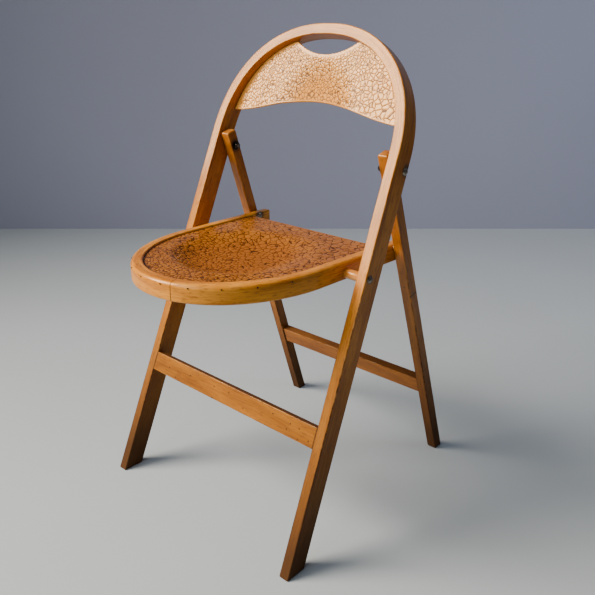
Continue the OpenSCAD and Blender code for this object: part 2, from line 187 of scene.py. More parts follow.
# Beech under an old amber shellac: fine straight grain, short brown ray flecks, a stain that lies
# darker in places, wood darker towards the floor and worn, paler corners. The shellac gives a soft amber
# gloss, which is lost where the wood is darkened. pale and deep are the stained wood's lightest and darkest
# tones.
def lacquered_beech(name, pale, deep, fleck="#5a2f10", worn="#dba158", foot_darkening=0.95, gloss=0.26,
                    wear=0.4, seam=None, holes=0.0, dark_rings=(), dusty_top=0, joints=0):
    material, tree = new_material(name)
    grain = add(tree, "ShaderNodeAttribute", attribute_name="grain").outputs["Vector"]
    edge = add(tree, "ShaderNodeAttribute", attribute_name="edge").outputs["Fac"]
    place = add(tree, "ShaderNodeTexCoord").outputs["Object"]

    def drawn_out(length, across, detail, rough=0.55):
        """A noise drawn out along the grain, its length and width in millimetres."""
        scaled = add(tree, "ShaderNodeMapping", {
            "Vector": grain, "Scale": (1 / length, 1 / across, 1 / across)})
        return add(tree, "ShaderNodeTexNoise", {
            "Vector": scaled.outputs[0], "Scale": 1, "Detail": detail, "Roughness": rough}).outputs[0]

    streaks = drawn_out(70, 2.4, 4, 0.6)  # growth rings, 2 to 3 mm apart
    stain = drawn_out(110, 22, 2)  # stain that took unevenly, in patches a hand long
    flecks = drawn_out(15, 2.6, 2)  # ray flecks, drawn coarser than the real half millimetre
    tone = add(tree, "ShaderNodeMath", {0: streaks, 1: 0.55}, operation="MULTIPLY")
    tone = add(tree, "ShaderNodeMath", {0: stain, 1: 0.75, 2: tone.outputs[0]},
               operation="MULTIPLY_ADD")
    tone = add(tree, "ShaderNodeMapRange", {
        "Value": tone.outputs[0], "From Min": 0.48, "From Max": 0.8})
    colour = add(tree, "ShaderNodeMix", {0: tone.outputs[0], 6: sRGB(pale), 7: sRGB(deep)},
                 data_type="RGBA").outputs[2]
    spotted = add(tree, "ShaderNodeMapRange", {
        "Value": flecks, "From Min": 0.53, "From Max": 0.7, "To Max": 0.55})
    colour = add(tree, "ShaderNodeMix", {0: spotted.outputs[0], 6: colour, 7: sRGB(fleck)},
                 data_type="RGBA").outputs[2]
    # worn corners, in patches
    patch = add(tree, "ShaderNodeTexNoise", {"Vector": place, "Scale": 28, "Detail": 3}).outputs[0]
    patch = add(tree, "ShaderNodeMapRange", {
        "Value": patch, "From Min": 0.44, "From Max": 0.62, "To Max": wear})
    rubbed = add(tree, "ShaderNodeMath", {0: patch.outputs[0], 1: edge}, operation="MULTIPLY")
    colour = add(tree, "ShaderNodeMix", {0: rubbed.outputs[0], 6: colour, 7: sRGB(worn)},
                 data_type="RGBA").outputs[2]
    # darker towards the floor, thick at the feet and higher up on scuffed corners: it fades out 350 mm
    # above the floor
    height = add(tree, "ShaderNodeSeparateXYZ", {0: place}).outputs["Z"]
    low = add(tree, "ShaderNodeMath", {0: stain, 1: 0.12, 2: height}, operation="MULTIPLY_ADD")
    scuffed = add(tree, "ShaderNodeTexNoise", {
        "Vector": place, "Scale": 55, "Detail": 4, "Roughness": 0.7})
    scuffed = add(tree, "ShaderNodeMapRange", {
        "Value": scuffed.outputs[0], "From Min": 0.4, "From Max": 0.6, "To Min": 0.02, "To Max": 0.24})
    scuffed = add(tree, "ShaderNodeMath", {0: scuffed.outputs[0], 1: edge}, operation="MULTIPLY")
    low = add(tree, "ShaderNodeMath", {0: low.outputs[0], 1: scuffed.outputs[0]}, operation="SUBTRACT")
    low = add(tree, "ShaderNodeMapRange", {
        "Value": low.outputs[0], "From Min": 0.1, "From Max": 0.4, "To Min": foot_darkening, "To Max": 0.0})
    darkened = low.outputs[0]
    run = add(tree, "ShaderNodeSeparateXYZ", {0: grain})
    if dusty_top:  # the upper side of a rail, where dust has stuck to the lacquer
        top = add(tree, "ShaderNodeMapRange", {
            "Value": run.outputs["Y"], "From Min": dusty_top - 1.2, "From Max": dusty_top - 0.2,
            "To Max": 0.75})
        darkened = add(tree, "ShaderNodeMath", {0: darkened, 1: top.outputs[0]}, operation="MAXIMUM").outputs[0]
    if joints:  # a dark glue line where a rail meets a leg
        out = add(tree, "ShaderNodeMath", {0: run.outputs["X"]}, operation="ABSOLUTE")
        out = add(tree, "ShaderNodeMapRange", {
            "Value": out.outputs[0], "From Min": joints - 2.2, "From Max": joints - 0.6,
            "To Max": 0.85})
        darkened = add(tree, "ShaderNodeMath", {0: darkened, 1: out.outputs[0]}, operation="MAXIMUM").outputs[0]
    colour = add(tree, "ShaderNodeMix", {0: darkened, 6: colour, 7: sRGB("#3d2819")},
                 data_type="RGBA").outputs[2]
    for x, back, up, reach in dark_rings:  # the wood is darker in a ring round each bolt and pin
        mirrored = add(tree, "ShaderNodeSeparateXYZ", {0: place})
        outwards = add(tree, "ShaderNodeMath", {0: mirrored.outputs[0]}, operation="ABSOLUTE")
        mirrored = add(tree, "ShaderNodeCombineXYZ", {
            0: outwards.outputs[0], 1: mirrored.outputs[1], 2: mirrored.outputs[2]})
        away = add(tree, "ShaderNodeVectorMath", {
            0: mirrored.outputs[0], 1: (x * MM, (back - CHAIR_MIDDLE) * MM, up * MM)},
            operation="DISTANCE")
        ring = add(tree, "ShaderNodeMapRange", {
            "Value": away.outputs["Value"], "From Min": 0.35 * reach * MM, "From Max": reach * MM,
            "To Min": 0.85, "To Max": 0}, interpolation_type="SMOOTHSTEP")
        colour = add(tree, "ShaderNodeMix", {0: ring.outputs[0], 6: colour, 7: sRGB("#24140b")},
                     data_type="RGBA").outputs[2]
    if holes:  # old woodworm holes, drawn coarser than the real 1.5 mm, in a share of 20 mm cells
        cells = add(tree, "ShaderNodeTexVoronoi", {"Vector": grain, "Scale": 1 / 20},
                    voronoi_dimensions="2D")
        bored = add(tree, "ShaderNodeMapRange", {
            "Value": cells.outputs["Distance"], "From Min": 0.05, "From Max": 0.08,
            "To Min": 1, "To Max": 0})
        few = add(tree, "ShaderNodeSeparateColor", {0: cells.outputs["Color"]}).outputs[0]
        few = add(tree, "ShaderNodeMath", {0: few, 1: holes}, operation="LESS_THAN")
        bored = add(tree, "ShaderNodeMath", {0: few.outputs[0], 1: bored.outputs[0]},
                    operation="MULTIPLY")
        colour = add(tree, "ShaderNodeMix", {0: bored.outputs[0], 6: colour, 7: sRGB("#23130a")},
                     data_type="RGBA").outputs[2]
    if seam is not None:  # the glued scarf, a dark line across the bar
        line = add(tree, "ShaderNodeMath", {0: run.outputs["X"], 1: seam, 2: 0.7}, operation="COMPARE")
        line = add(tree, "ShaderNodeMath", {0: line.outputs[0], 1: 0.8}, operation="MULTIPLY")
        colour = add(tree, "ShaderNodeMix", {0: line.outputs[0], 6: colour, 7: sRGB("#3c2210")},
                     data_type="RGBA").outputs[2]
    rough = add(tree, "ShaderNodeMapRange", {
        "Value": streaks, "From Min": 0.3, "From Max": 0.7, "To Min": gloss, "To Max": gloss + 0.14})
    matt = add(tree, "ShaderNodeMath", {0: darkened, 1: 0.4, 2: rough.outputs[0]}, operation="MULTIPLY_ADD")
    shine = add(tree, "ShaderNodeMapRange", {"Value": darkened, "To Min": 0.18, "To Max": 0.0}).outputs[0]
    level = add(tree, "ShaderNodeMapRange", {"Value": darkened, "To Min": 0.5, "To Max": 0.2}).outputs[0]
    relief = add(tree, "ShaderNodeBump", {"Height": streaks, "Strength": 0.25, "Distance": 0.0004})
    shader = add(tree, "ShaderNodeBsdfPrincipled", {
        "Base Color": colour, "Roughness": matt.outputs[0], "Normal": relief.outputs[0],
        "Specular IOR Level": level, "Specular Tint": sRGB("#ffcfa0"), "IOR": 1.45,
        "Coat Weight": shine, "Coat Roughness": 0.12, "Coat IOR": 1.45})
    add(tree, "ShaderNodeOutputMaterial", {"Surface": shader.outputs[0]})
    return material


hoop_stations = np.concatenate([
    np.linspace(0, HOOP_LEG, 112), np.linspace(HOOP_LEG, HOOP_LEG + BEND, 76)[1:]])
hoop_stations = np.concatenate([hoop_stations, (2 * (HOOP_LEG + BEND) - hoop_stations[::-1])[1:]])
hoop_bar = swept_bar("hoop_bar", hoop_stations,
                     eased_section(HOOP_WIDTH, HOOP_DEPTH, (1.6, 1.8, 2.2, 2.0)), place_hoop,
                     ends=(2.6, 2.6))
# each dark ring's place across, back and up, and its reach: at the seat bolts and the upper bolts
hoop_dark_rings = ((215, 265.5, 433, 15), (209, 286.7, 591.4, 15))
hoop_bar.data.materials.append(
    lacquered_beech("hoop_lacquered_beech", "#bd7a22", "#8a4c0c", dark_rings=hoop_dark_rings))
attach(hoop_bar, "hoop_frame")
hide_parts("front_hoop")

# ---- The back panel ---------------------------------------------------------------------------
# Five millimetre beech plywood, hot-pressed with a crackle pattern of cells that grow from the
# top to the lower corners, and with a shallow hollow at its arched lower edge. It is let into the
# hoop, and its upper edge is cut away for a hand.

PLY = 5.0
BACK_LOW_N, BACK_HIGH_N = 18.0, 13.0  # the panel's front face behind the hoop's, low and high
CORNER_S, ARCH_S, HAND_S, HAND_R = 718.5, 28.5, 825.0, 114.0
BACK_HOLLOW, BACK_HOLLOW_R, BACK_HOLLOW_S = 9.0, 87.0, 738.0  # depth, radius, place up the hoop
EASED = 1.2  # the radius of a board's cut edges
COARSER = 4  # a board's underside has one row for so many above
BACK_TILT = math.atan((BACK_LOW_N - BACK_HIGH_N) / (HAND_S - CORNER_S))


def hollow(distance, radius, depth, roundness):
    """A pressed hollow's depth: full in the middle, with walls that end in a soft rim."""
    inside = np.clip(1 - (distance / radius) ** roundness, 0, 1)
    return depth * inside ** 2 * np.sqrt(3 - 2 * inside)


def crackle_cells(x, y, across, map_to, slope):
    """The press plate's pattern: where a point lies among cells of size one, and how many
    millimetres a cell measures there. map_to bends the plane without stretching its cells."""
    z = x + 1j * y
    w, size = map_to(z) / across, across / np.abs(slope(z))
    a, b = w.real, w.imag  # made to waver a little, so that no two cells are alike
    a, b = a + 0.08 * np.sin(2.1 * b), b + 0.08 * np.sin(2.3 * a)
    return np.stack([a, b, np.zeros_like(a)], -1), size


def pressed_board(name, rows, low, high, columns, place, rise, pattern, showing, rim, gap):
    """A thin board on a fine grid, rows from low to high, with a coarser underside. rise gives
    its face's height, place the row frame's point, pattern and showing the cells. rim is the
    way to a rounded edge and gap that to the frame which holds the board."""
    rows = np.asarray(rows, float)
    share = np.linspace(0, 1, columns + 1)
    lat = low(rows)[:, None] + (high(rows) - low(rows))[:, None] * share
    run = np.repeat(rows[:, None], columns + 1, 1)
    ease = rim(run, lat)
    rounded = EASED - np.sqrt(np.clip(EASED ** 2 - np.clip(EASED - ease, 0, None) ** 2, 0, None))
    height = rise(run, lat)
    top = place(run, lat, height - rounded)
    sparse = (slice(None, None, COARSER), slice(None, None, COARSER))
    under = place(run, lat, height - PLY + rounded)[sparse]
    press, size = pattern(run, lat)
    show = np.clip((ease - 1) / 3, 0, 1) * showing(run, lat)
    many, wide = top.shape[:2]
    few, narrow = under.shape[:2]
    over = np.arange(many * wide).reshape(many, wide)
    below = many * wide + np.arange(few * narrow).reshape(few, narrow)
    faces = []
    for grid in (over, below[:, ::-1]):
        corners = np.stack([grid[:-1, :-1], grid[1:, :-1], grid[1:, 1:], grid[:-1, 1:]], -1)
        faces += corners.reshape(-1, 4).tolist()
    for fine, coarse in ((over[0], below[0]), (over[-1], below[-1]),
                         (over[:, 0], below[:, 0]), (over[:, -1], below[:, -1])):
        faces += [[*fine[COARSER * i:COARSER * (i + 1) + 1].tolist(), int(coarse[i + 1]), int(coarse[i])]
                  for i in range(len(coarse) - 1)]
    flat = np.stack([run, lat, height], -1)
    blank = np.zeros(few * narrow)
    to_frame = gap(run, lat)
    return make_mesh(
        name, np.concatenate([top.reshape(-1, 3), under.reshape(-1, 3)]), faces,
        press=np.concatenate([press.reshape(-1, 3), press[sparse].reshape(-1, 3)]),
        cell=np.concatenate([size.ravel(), size[sparse].ravel()]),
        show=np.concatenate([show.ravel(), blank]),
        sunk=np.concatenate([-height.ravel(), blank]),
        gap=np.concatenate([to_frame.ravel(), to_frame[sparse].ravel()]),
        grain=np.concatenate([flat.reshape(-1, 3), flat[sparse].reshape(-1, 3)]))


def new_tree(name, takes, gives):
    """A Geometry Nodes tree with its named inputs and its one output, and the inputs' sockets."""
    tree = bpy.data.node_groups.new(name, "GeometryNodeTree")
    for socket, kind in takes.items():
        tree.interface.new_socket(socket, in_out="INPUT", socket_type="NodeSocket" + kind)
    tree.interface.new_socket(gives, in_out="OUTPUT", socket_type="NodeSocketGeometry")
    return tree, add(tree, "NodeGroupInput").outputs


# The press itself: each cell stands up like a pebble between narrow grooves.
press_tree, given = new_tree("crackle_press", {
    "Board": "Geometry", "Groove depth": "Float", "Groove reach": "Float", "Finish": "Material"}, "Board")
cells = add(press_tree, "GeometryNodeInputNamedAttribute", {"Name": "press"}, data_type="FLOAT_VECTOR")
size = add(press_tree, "GeometryNodeInputNamedAttribute", {"Name": "cell"}, data_type="FLOAT")
shown = add(press_tree, "GeometryNodeInputNamedAttribute", {"Name": "show"}, data_type="FLOAT")
grooves = add(press_tree, "ShaderNodeTexVoronoi", {"Vector": cells.outputs[0], "Scale": 1},
              feature="DISTANCE_TO_EDGE")
apart = add(press_tree, "ShaderNodeMath", {0: grooves.outputs[0], 1: size.outputs[0]}, operation="MULTIPLY")
sunk = add(press_tree, "ShaderNodeMapRange", {
    "Value": apart.outputs[0], "From Min": 0, "From Max": given["Groove reach"], "To Min": -1, "To Max": 0},
    interpolation_type="SMOOTHSTEP")
sunk = add(press_tree, "ShaderNodeMath", {0: sunk.outputs[0], 1: shown.outputs[0]}, operation="MULTIPLY")
sunk = add(press_tree, "ShaderNodeMath", {0: sunk.outputs[0], 1: given["Groove depth"]},
           operation="MULTIPLY")
outward = add(press_tree, "GeometryNodeInputNormal")
push = add(press_tree, "ShaderNodeVectorMath", {0: outward.outputs[0], "Scale": sunk.outputs[0]},
           operation="SCALE")
pressed = add(press_tree, "GeometryNodeSetPosition", {
    "Geometry": given["Board"], "Offset": push.outputs[0]})
real = add(press_tree, "GeometryNodeRealizeInstances", {"Geometry": pressed.outputs[0]})
finished = add(press_tree, "GeometryNodeSetMaterial", {
    "Geometry": real.outputs[0], "Material": given["Finish"]})
add(press_tree, "NodeGroupOutput", {"Board": finished.outputs[0]})


def run_tree(piece, tree, values):
    """Runs a tree on a piece with its named inputs set, and leaves the result as its mesh."""
    modifier = piece.modifiers.new(tree.name, "NODES")
    modifier.node_group = tree
    sockets = {s.name: s.identifier for s in tree.interface.items_tree if s.in_out == "INPUT"}
    for key, value in values.items():
        modifier[sockets[key]] = value
    bpy.context.view_layer.update()
    evaluated = piece.evaluated_get(bpy.context.evaluated_depsgraph_get())
    made = bpy.data.meshes.new_from_object(evaluated)
    piece.modifiers.remove(modifier)
    made.name = piece.data.name
    piece.data = made
    return piece


# Embossed and lacquered plywood: amber cells of slightly different tone, dull dark polish left in
# the grooves, lacquer rubbed off in the hollow with painted shade there, and painted shade along
# the line where the board meets its frame.
def embossed_ply(name, pale, deep, groove, width, rubbed, depth):
    """pale and deep are the lacquer's tones, groove the polish left in the grooves, width their
    dark line in millimetres, and rubbed the hollow's colour, for rubbed lacquer and painted shade, depth
    millimetres deep."""
    material, tree = new_material(name)
    cells = add(tree, "ShaderNodeAttribute", attribute_name="press").outputs["Vector"]
    size = add(tree, "ShaderNodeAttribute", attribute_name="cell").outputs["Fac"]
    shown = add(tree, "ShaderNodeAttribute", attribute_name="show").outputs["Fac"]
    gap = add(tree, "ShaderNodeAttribute", attribute_name="gap").outputs["Fac"]
    grain = add(tree, "ShaderNodeAttribute", attribute_name="grain").outputs["Vector"]
    scaled = add(tree, "ShaderNodeMapping", {"Vector": grain, "Scale": (1 / 90, 1 / 3, 1 / 3)})
    streaks = add(tree, "ShaderNodeTexNoise", {
        "Vector": scaled.outputs[0], "Scale": 1, "Detail": 4}).outputs[0]  # grain 3 mm across
    cloud = add(tree, "ShaderNodeTexNoise", {"Vector": grain, "Scale": 1 / 38, "Detail": 3}).outputs[0]
    each = add(tree, "ShaderNodeTexVoronoi", {"Vector": cells, "Scale": 1})
    each = add(tree, "ShaderNodeSeparateColor", {0: each.outputs["Color"]}).outputs[0]
    tone = add(tree, "ShaderNodeMath", {0: streaks, 1: 0.35}, operation="MULTIPLY")
    tone = add(tree, "ShaderNodeMath", {0: cloud, 1: 0.6, 2: tone.outputs[0]}, operation="MULTIPLY_ADD")
    tone = add(tree, "ShaderNodeMath", {0: each, 1: 0.14, 2: tone.outputs[0]}, operation="MULTIPLY_ADD")
    tone = add(tree, "ShaderNodeMapRange", {"Value": tone.outputs[0], "From Min": 0.35, "From Max": 0.75})
    colour = add(tree, "ShaderNodeMix", {0: tone.outputs[0], 6: sRGB(pale), 7: sRGB(deep)},
                 data_type="RGBA").outputs[2]
    sunk = add(tree, "ShaderNodeAttribute", attribute_name="sunk").outputs["Fac"]
    sunk = add(tree, "ShaderNodeMath", {0: cloud, 1: -0.4 * depth, 2: sunk}, operation="MULTIPLY_ADD")
    # the hollow takes the rubbed colour deepest in: lacquer rubbed off there, and painted shade of the
    # hollow
    bare_and_shaded = add(tree, "ShaderNodeMapRange", {
        "Value": sunk.outputs[0], "From Min": 0, "From Max": 0.6 * depth},
        interpolation_type="SMOOTHSTEP").outputs[0]
    colour = add(tree, "ShaderNodeMix", {0: bare_and_shaded, 6: colour, 7: sRGB(rubbed)}, data_type="RGBA").outputs[2]
    apart = add(tree, "ShaderNodeTexVoronoi", {"Vector": cells, "Scale": 1}, feature="DISTANCE_TO_EDGE")
    apart = add(tree, "ShaderNodeMath", {0: apart.outputs[0], 1: size}, operation="MULTIPLY")
    uneven = add(tree, "ShaderNodeTexNoise", {"Vector": grain, "Scale": 1 / 9, "Detail": 2}).outputs[0]
    line = add(tree, "ShaderNodeMapRange", {
        "Value": uneven, "From Min": 0.3, "From Max": 0.7, "To Min": width * 0.3, "To Max": width * 0.6})
    line = add(tree, "ShaderNodeMapRange", {
        "Value": apart.outputs[0], "From Min": 0.1, "From Max": line.outputs[0],
        "To Min": 1, "To Max": 0}, interpolation_type="SMOOTHSTEP")
    line = add(tree, "ShaderNodeMath", {0: line.outputs[0], 1: shown}, operation="MULTIPLY")
    # painted shade: the board darkens within 2.6 mm of the hoop or the ring, where the frame's edge would
    # shade it
    frame_shade = add(tree, "ShaderNodeMapRange", {
        "Value": gap, "From Min": 0.3, "From Max": 2.6, "To Min": 0.9, "To Max": 0},
        interpolation_type="SMOOTHSTEP")
    dark = add(tree, "ShaderNodeMath", {0: line.outputs[0], 1: frame_shade.outputs[0]},
               operation="MAXIMUM").outputs[0]
    colour = add(tree, "ShaderNodeMix", {0: dark, 6: colour, 7: sRGB(groove)}, data_type="RGBA").outputs[2]
    rough = add(tree, "ShaderNodeMath", {0: bare_and_shaded, 1: 0.25, 2: 0.34}, operation="MULTIPLY_ADD")
    dull = add(tree, "ShaderNodeMath", {0: dark, 1: bare_and_shaded}, operation="MAXIMUM").outputs[0]
    shine = add(tree, "ShaderNodeMapRange", {"Value": dull, "To Min": 0.42, "To Max": 0.04}).outputs[0]
    level = add(tree, "ShaderNodeMapRange", {"Value": dark, "To Min": 0.4, "To Max": 0.1}).outputs[0]
    relief = add(tree, "ShaderNodeBump", {"Height": streaks, "Strength": 0.2, "Distance": 0.0003})
    shader = add(tree, "ShaderNodeBsdfPrincipled", {
        "Base Color": colour, "Roughness": rough.outputs[0], "Normal": relief.outputs[0],
        "Specular IOR Level": level, "Specular Tint": sRGB("#ffdcb4"), "IOR": 1.45,
        "Coat Weight": shine, "Coat Roughness": 0.14, "Coat IOR": 1.45})
    add(tree, "ShaderNodeOutputMaterial", {"Surface": shader.outputs[0]})
    return material


BACK_REACH = 190.0  # half the board's length, its ends inside the hoop
LET_IN = 6.0  # how deep the hoop and the ring hold their boards
HAND_REACH = 80.0  # the hand-hold's cut edge is nearer the middle than this
let_in_along = np.linspace(HOOP_LEG, HOOP_LEG + BEND, 800)
let_in_x, let_in_s = hoop_outline(let_in_along, LET_IN - HOOP_WIDTH / 2)
inner_x, inner_s = hoop_outline(let_in_along, -HOOP_WIDTH / 2)


def back_lower(x):
    span = hoop_half_width(CORNER_S) - HOOP_WIDTH / 2 + LET_IN
    return CORNER_S + ARCH_S * (0.5 + 0.5 * np.cos(np.pi * x / span))


def back_upper(x):
    hoop = np.interp(np.abs(x), let_in_x[::-1], let_in_s[::-1])
    hand = HAND_S + HAND_R - np.sqrt(np.clip(HAND_R ** 2 - x ** 2, 0, None))
    return np.where(np.abs(x) < HAND_R - 1, np.minimum(hoop, hand), hoop)


def place_back(x, s, out):
    """out is how far a point stands forward of the board's flat face."""
    up = s - CORNER_S
    return from_hoop(x, BACK_LOW_N - out * math.cos(BACK_TILT) - up * math.sin(BACK_TILT),
                     CORNER_S - out * math.sin(BACK_TILT) + up * math.cos(BACK_TILT))


def back_rise(x, s):
    return -hollow(np.hypot(x, s - BACK_HOLLOW_S), BACK_HOLLOW_R, BACK_HOLLOW, 2.2)


def back_gap(x, s):
    """Millimetres from a point of the board to the hoop's inner face."""
    return 0.8 * (np.interp(s, inner_s, inner_x) - np.abs(x))


def back_rim(x, s):
    """Millimetres to the nearest cut edge that shows: the arch below or the hand-hold above."""
    hand = np.hypot(x, s - HAND_S - HAND_R) - HAND_R
    return np.minimum(s - back_lower(x), np.where(np.abs(x) < HAND_REACH, hand, 99))


def back_pattern(x, s):
    """Cells 6 mm across in the middle, which grow towards both lower corners."""
    return crackle_cells(
        x, s - CORNER_S, 6.2,
        lambda z: z - 0.06 * z ** 2 / BACK_REACH - 0.18 * z ** 3 / BACK_REACH ** 2,
        lambda z: 1 - 0.12 * z / BACK_REACH - 0.54 * (z / BACK_REACH) ** 2)


def back_showing(x, s):
    """The pattern stops short of the hand-hold and of the left side, where the board is smooth."""
    inner = np.interp(np.clip(s, inner_s[0], inner_s[-1]), inner_s, inner_x)
    hand = np.hypot(x, s - HAND_S - HAND_R) - HAND_R
    return (np.clip((hand - 4) / 4, 0, 1) * np.clip((inner + x - 5) / 7, 0, 1)
            * np.clip((inner - x - 1) / 3, 0, 1))


back_board = pressed_board(
    "back_board", np.linspace(-BACK_REACH, BACK_REACH, 481), back_lower, back_upper, 176,
    place_back, back_rise, back_pattern, back_showing, back_rim, back_gap)
run_tree(back_board, press_tree, {
    "Groove depth": 0.4 * MM, "Groove reach": 1.3,
    "Finish": embossed_ply(
        "back_embossed_ply", "#e0a04a", "#cc8832", "#5a3a20", 1.5, "#cc8830", BACK_HOLLOW)})
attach(back_board, "hoop_frame")
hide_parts("back_panel")

# ---- The front stretcher ----------------------------------------------------------------------
# A flat beech rail between the front legs, flush with their front, tenoned into the hoop and
# glued. Its corners are eased, dust sticks to its upper side, and woodworm has left old holes.

RAIL_HEIGHT, RAIL_THICK, FRONT_RAIL_S = 34.6, 16.0, 224.5
RAIL_BACK, TENON = 0.2, 3.0  # how far it is behind the legs' front, and how far it goes into them
RAIL_RUN = 200.0  # counting length of half the rail


def place_front_rail(along, u, n):
    s = FRONT_RAIL_S - RAIL_HEIGHT / 2 + u
    half = hoop_half_width(s) - HOOP_WIDTH / 2 + TENON
    return from_hoop(along * half / RAIL_RUN, n + RAIL_BACK, s)


rail_section = eased_section(RAIL_HEIGHT, RAIL_THICK, (1.5, 1.5, 1.5, 1.5))
front_rail = swept_bar("front_rail", np.linspace(-RAIL_RUN, RAIL_RUN, 60), rail_section, place_front_rail)
front_rail.data.materials.append(lacquered_beech(
    "front_rail_lacquered_beech", "#a1650f", "#703e05", foot_darkening=0.25, gloss=0.34, holes=0.4,
    dusty_top=RAIL_HEIGHT, joints=RAIL_RUN - TENON))
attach(front_rail, "hoop_frame")
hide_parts("front_stretcher")

# ---- The rear legs ----------------------------------------------------------------------------
# Two straight beech bars inside the hoop. Each hangs on its upper bolt and has a curved blind
# groove milled in its inner face, in which the seat's guide pin runs. The feet are sawn level.

REAR_LEAN = math.radians(18.44)
REAR_HALF, REAR_SPLAY, REAR_WIDTH, REAR_DEPTH, REAR_TOP = 178.4, 0.0128, 19.0, 20.4, 28.0
UPPER_BOLT = (281.8765, 591.370)  # back from the front feet, and up
SEAT_BOLT = (197.4746, 440.1298)
PIN_BACK, PIN_UP = 125.02, 13.6  # the guide pin from the seat bolt, when the chair is open
SEAT_TURN, LEGS_TURN = math.radians(113), math.radians(41.44)
GROOVE_WIDTH, GROOVE_DEPTH = 6.5, 9.0
GROOVE_FLOOR = REAR_HALF - REAR_WIDTH / 2 + GROOVE_DEPTH
SIDES = ((-1, "left"), (1, "right"))


def from_rear(x, d, t):
    """The row frame's place of a point d behind a rear leg's middle and t above the upper bolt."""
    y = UPPER_BOLT[0] + d * math.cos(REAR_LEAN) - t * math.sin(REAR_LEAN) - CHAIR_MIDDLE
    z = UPPER_BOLT[1] + d * math.sin(REAR_LEAN) + t * math.cos(REAR_LEAN)
    return np.stack(np.broadcast_arrays(x, y, z), -1)


def guide_point(turn):
    """Where the guide pin is in the rear leg when the seat has turned so far."""
    y = SEAT_BOLT[0] + PIN_BACK * math.cos(turn) + PIN_UP * math.sin(turn) - UPPER_BOLT[0]
    z = SEAT_BOLT[1] - PIN_BACK * math.sin(turn) + PIN_UP * math.cos(turn) - UPPER_BOLT[1]
    lean = REAR_LEAN - turn * LEGS_TURN / SEAT_TURN
    return np.array([y * math.cos(lean) + z * math.sin(lean), -y * math.sin(lean) + z * math.cos(lean)])


guide_line = np.array([guide_point(SEAT_TURN * i / 20) for i in range(21)])
guide_run = np.gradient(guide_line, axis=0)
guide_run = np.arctan2(guide_run[:, 1], guide_run[:, 0])


def beside_groove(i, turn):
    angle = guide_run[i] + math.radians(turn)
    return guide_line[i] + GROOVE_WIDTH / 2 * np.array([math.cos(angle), math.sin(angle)])


groove_outline = ([beside_groove(i, -90) for i in range(20)]
                  + [beside_groove(20, turn) for turn in range(-90, 91, 15)]
                  + [beside_groove(i, 90) for i in range(19, 0, -1)]
                  + [beside_groove(0, turn) for turn in range(90, 256, 15)])
LEG_END = -UPPER_BOLT[1] / math.cos(REAR_LEAN)
rear_section = eased_section(REAR_WIDTH, REAR_DEPTH, (1.8, 1.8, 1.8, 1.8))
rear_beech = lacquered_beech(
    "rear_legs_lacquered_beech", "#ad6b18", "#79420b", worn="#cf9350", holes=0.14,
    dark_rings=((168, UPPER_BOLT[0], UPPER_BOLT[1], 17),))

for side, word in SIDES:
    def place_rear(along, u, n):
        slant = (n - REAR_DEPTH / 2) * math.tan(REAR_LEAN)
        along = along - slant * np.clip(1 - (along - LEG_END) / FOOT_SLANT, 0, 1)
        x = REAR_HALF - REAR_SPLAY * along + u - REAR_WIDTH / 2
        return from_rear(side * x, n - REAR_DEPTH / 2, along)

    rear_bar = swept_bar("rear_bar_" + word, np.linspace(LEG_END, REAR_TOP, 100), rear_section, place_rear,
                         ends=(2.4, 3.5))
    count = len(groove_outline)
    cutter = make_mesh("groove_cutter", np.concatenate([
        from_rear(side * x, np.array(groove_outline)[:, 0], np.array(groove_outline)[:, 1])
        for x in (GROOVE_FLOOR - 2 * REAR_WIDTH, GROOVE_FLOOR)]),
        [[i, (i + 1) % count, count + (i + 1) % count, count + i] for i in range(count)]
        + [list(range(count)), list(range(count, 2 * count))])
    cut = rear_bar.modifiers.new("groove", "BOOLEAN")
    cut.operation, cut.solver, cut.object = "DIFFERENCE", "EXACT", cutter
    bpy.context.view_layer.update()
    grooved = bpy.data.meshes.new_from_object(
        rear_bar.evaluated_get(bpy.context.evaluated_depsgraph_get()))
    rear_bar.modifiers.remove(cut)
    rear_bar.data = grooved
    bpy.data.objects.remove(cutter)
    grooved.materials.clear()
    grooved.materials.append(rear_beech)
    grooved.set_sharp_from_angle(angle=math.radians(38))
    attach(rear_bar, "rear_frame")
    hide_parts("rear_leg_" + word)

# ---- The rear stretcher -----------------------------------------------------------------------
# The same flat rail between the rear legs, in the middle of their depth, tenoned and glued. It is
# a little darker than the front one, and as dusty on its upper side.

REAR_RAIL_T, REAR_RAIL_RUN = -455.0, 180.0


def place_rear_rail(along, u, n):
    t = REAR_RAIL_T - RAIL_HEIGHT / 2 + u
    half = REAR_HALF - REAR_SPLAY * t - REAR_WIDTH / 2 + TENON
    return from_rear(along * half / REAR_RAIL_RUN, n - RAIL_THICK / 2, t)


rear_rail = swept_bar("rear_rail", np.linspace(-REAR_RAIL_RUN, REAR_RAIL_RUN, 56), rail_section,
                      place_rear_rail)
rear_rail.data.materials.append(lacquered_beech(
    "rear_rail_lacquered_beech", "#a66517", "#733f0b", foot_darkening=0.3, gloss=0.34,
    dusty_top=RAIL_HEIGHT, joints=REAR_RAIL_RUN - TENON))
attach(rear_rail, "rear_frame")
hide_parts("rear_stretcher")

# ---- The seat ring ----------------------------------------------------------------------------
# One beech bar, 19.5 x 30 mm, steam-bent to a U and joined by a long glued scarf at the front.
# Its upper outer edge is well rounded, and its two arms run back past the panel.

RING_HALF, RING_CURVE, RING_POWER, ARM_SPLAY = 165.8, 199.5, 2.06, 0.021
RING_WIDTH, RING_HEIGHT, RING_FRONT, ARM_BACK = 19.5, 30.0, 248.1, 155.5
RING_RISE = 4.0  # the ring's middle above the seat bolts
RING_LOW = RING_RISE - RING_HEIGHT / 2
ARM_LENGTH = ARM_BACK + RING_FRONT - RING_CURVE
RING_BEND = 290.0  # counting length of each half of the bend
SCARF = 538.0  # the scarf's end, along the ring from the left arm's tip


